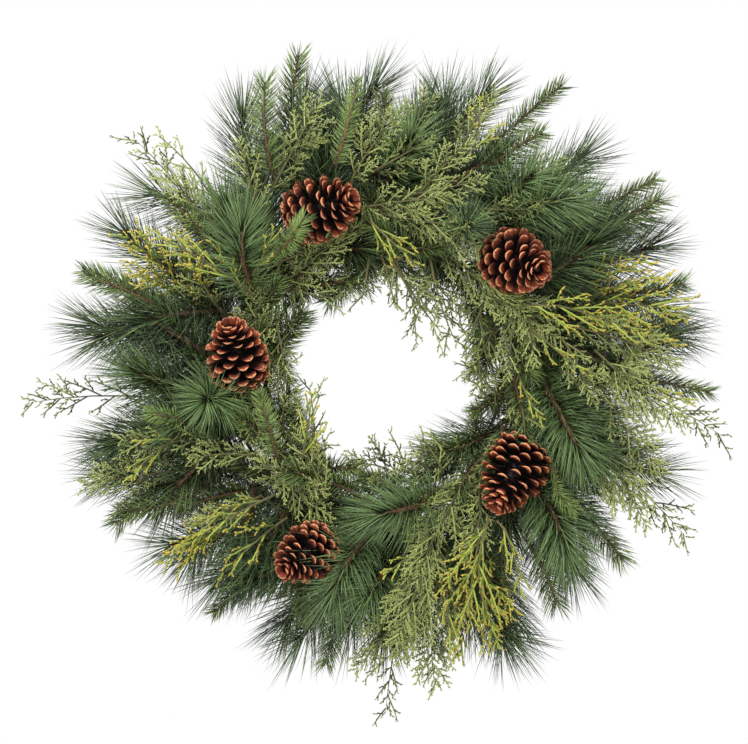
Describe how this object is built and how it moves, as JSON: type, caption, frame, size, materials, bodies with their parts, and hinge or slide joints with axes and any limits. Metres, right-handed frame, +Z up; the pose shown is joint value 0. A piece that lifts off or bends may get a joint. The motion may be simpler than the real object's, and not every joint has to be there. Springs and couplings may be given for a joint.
{
  "type": "evergreen wreath",
  "caption": "Round mixed evergreen wreath with open pine cones, wired to a welded ring frame and hung from a wire eye.",
  "frame": {"origin": "the point inside the top of the wire eye where a nail or hook bears", "axes": "+Z up the wall, -Y towards the viewer, +X to the viewer's right; the wall lies behind, on the +Y side"},
  "size_m": [0.615, 0.1229, 0.5842],
  "materials": {
    "pine_needles": "satin green needles on brown twigs",
    "fir_needles": "satin dark green needles on brown twigs",
    "cedar_leaves": "matt olive scale leaves",
    "golden_cypress_leaves": "matt yellow-green scale leaves",
    "cone_scale": "satin red-brown scales with tan lips",
    "frame_wire": "green enamelled steel wire",
    "binding_wire": "green enamelled florist's wire",
    "hanger_wire": "bare galvanised wire"
  },
  "bodies": {
    "root": {"binding_wire": "binding_wire", "cedar_spray_01": "cedar_leaves", "cedar_spray_02": "cedar_leaves", "cedar_spray_03": "cedar_leaves", "cedar_spray_04": "cedar_leaves", "cedar_spray_05": "cedar_leaves", "cedar_spray_06": "cedar_leaves", "cedar_spray_07": "cedar_leaves", "cedar_spray_08": "cedar_leaves", "cedar_spray_09": "cedar_leaves", "cone_wire_1": "binding_wire", "cone_wire_2": "binding_wire", "cone_wire_3": "binding_wire", "cone_wire_4": "binding_wire", "cone_wire_5": "binding_wire", "cypress_spray_01": "golden_cypress_leaves", "cypress_spray_02": "golden_cypress_leaves", "cypress_spray_03": "golden_cypress_leaves", "cypress_spray_04": "golden_cypress_leaves", "cypress_spray_05": "golden_cypress_leaves", "fir_tip_01": "fir_needles", "fir_tip_02": "fir_needles", "fir_tip_03": "fir_needles", "fir_tip_04": "fir_needles", "fir_tip_05": "fir_needles", "fir_tip_06": "fir_needles", "fir_tip_07": "fir_needles", "fir_tip_08": "fir_needles", "fir_tip_09": "fir_needles", "fir_tip_10": "fir_needles", "fir_tip_11": "fir_needles", "fir_tip_12": "fir_needles", "hanger_loop": "hanger_wire", "pine_cone_1": "cone_scale", "pine_cone_2": "cone_scale", "pine_cone_3": "cone_scale", "pine_cone_4": "cone_scale", "pine_cone_5": "cone_scale", "pine_spray_01": "pine_needles", "pine_spray_02": "pine_needles", "pine_spray_03": "pine_needles", "pine_spray_04": "pine_needles", "pine_spray_05": "pine_needles", "pine_spray_06": "pine_needles", "pine_spray_07": "pine_needles", "pine_spray_08": "pine_needles", "pine_spray_09": "pine_needles", "pine_spray_10": "pine_needles", "pine_spray_11": "pine_needles", "pine_spray_12": "pine_needles", "pine_spray_13": "pine_needles", "pine_spray_14": "pine_needles", "pine_spray_15": "pine_needles", "pine_spray_16": "pine_needles", "pine_spray_17": "pine_needles", "pine_spray_18": "pine_needles", "pine_spray_19": "pine_needles", "pine_spray_20": "pine_needles", "pine_spray_21": "pine_needles", "wire_frame": "frame_wire"}
  },
  "joints": []
}
